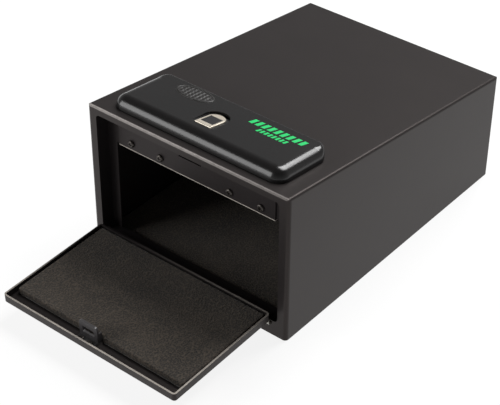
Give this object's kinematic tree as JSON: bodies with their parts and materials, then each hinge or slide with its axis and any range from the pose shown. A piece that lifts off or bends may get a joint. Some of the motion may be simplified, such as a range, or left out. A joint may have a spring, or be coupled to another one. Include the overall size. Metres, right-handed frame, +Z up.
{
  "type": "gun safe",
  "caption": "Small wedge-shaped steel pistol safe with a drop-down front door, sliding latch, solenoid and key lock, and a fingerprint reader pod on its roof.",
  "frame": {"origin": "centre of the base's footprint, at floor height", "axes": "+Z up, -Y out of the doorway, +X to the right as seen from in front of the door"},
  "size_m": [0.2182, 0.4351, 0.155],
  "materials": {
    "steel_black": "fine powder coat",
    "steel_inside": "satin powder coat",
    "zinc_steel": "zinc plated",
    "foam": "open-cell foam",
    "pod_plastic": "fine texture",
    "champagne": "satin",
    "dark_glass": "gloss",
    "board_green": "gloss",
    "seal_rubber": "matte",
    "coil_copper": "enamelled winding",
    "screw_steel": "plated",
    "bright_lock": "polished",
    "cell_jacket": "gloss"
  },
  "bodies": {
    "cabinet": {"outer_shell": "steel_black", "base_plate": "steel_black", "door_stop_frame": "steel_inside", "floor_liner": "foam", "lock_cover": "steel_inside", "lock_cover_screws": "screw_steel", "latch_guides": "zinc_steel", "solenoid_frame": "zinc_steel", "solenoid_coil": "coil_copper", "key_lock_barrel": "bright_lock", "key_lock_nut": "zinc_steel", "battery_tray": "pod_plastic", "battery_cells": "cell_jacket", "battery_contacts": "zinc_steel", "battery_cover_rails": "pod_plastic", "pod_housing": "pod_plastic", "pod_gasket": "seal_rubber", "badge_plate": "pod_plastic", "sensor_bezel": "champagne", "sensor_window": "dark_glass", "sensor_module": "dark_glass", "circuit_board": "board_green", "board_posts": "zinc_steel", "pod_screws": "screw_steel", "hinge_frame_leaf": "steel_inside", "hinge_pin": "bright_lock", "hinge_springs": "zinc_steel"},
    "door": {"door_panel": "steel_black", "door_liner": "foam", "striker": "steel_inside", "striker_rivets": "screw_steel", "hinge_door_leaf": "steel_inside"},
    "latch": {"latch_slide": "zinc_steel", "solenoid_plunger": "bright_lock", "latch_spring": "zinc_steel"},
    "key": {"key_plug": "bright_lock", "key_crank": "zinc_steel"},
    "battery_hatch": {"battery_cover": "pod_plastic"}
  },
  "joints": [
    {"name": "door_hinge", "type": "hinge", "parent": "cabinet", "child": "door", "pos_m": [0, -0.159, 0.0163], "axis": [1, 0, 0], "range_deg": [-91.9, 0], "stiffness_Nm_per_rad": 0.04, "springref_deg": 22.92},
    {"name": "key_turn", "type": "hinge", "parent": "cabinet", "child": "key", "pos_m": [-0.108, -0.1155, 0.122], "axis": [1, 0, 0], "range_deg": [-90, 0]},
    {"name": "latch_drop", "type": "slide", "parent": "cabinet", "child": "latch", "axis": [0, 0, 1], "range_m": [-0.007, 0], "stiffness_N_per_m": 50, "springref_m": -0.01, "deforming": ["latch_spring"]},
    {"name": "battery_cover_slide", "type": "slide", "parent": "cabinet", "child": "battery_hatch", "axis": [0, 1, 0], "range_m": [0, 0.052]}
  ],
  "couplings": [
    {"joint": "latch_drop", "follows": "key_turn", "m_per_rad": 0.004456}
  ]
}
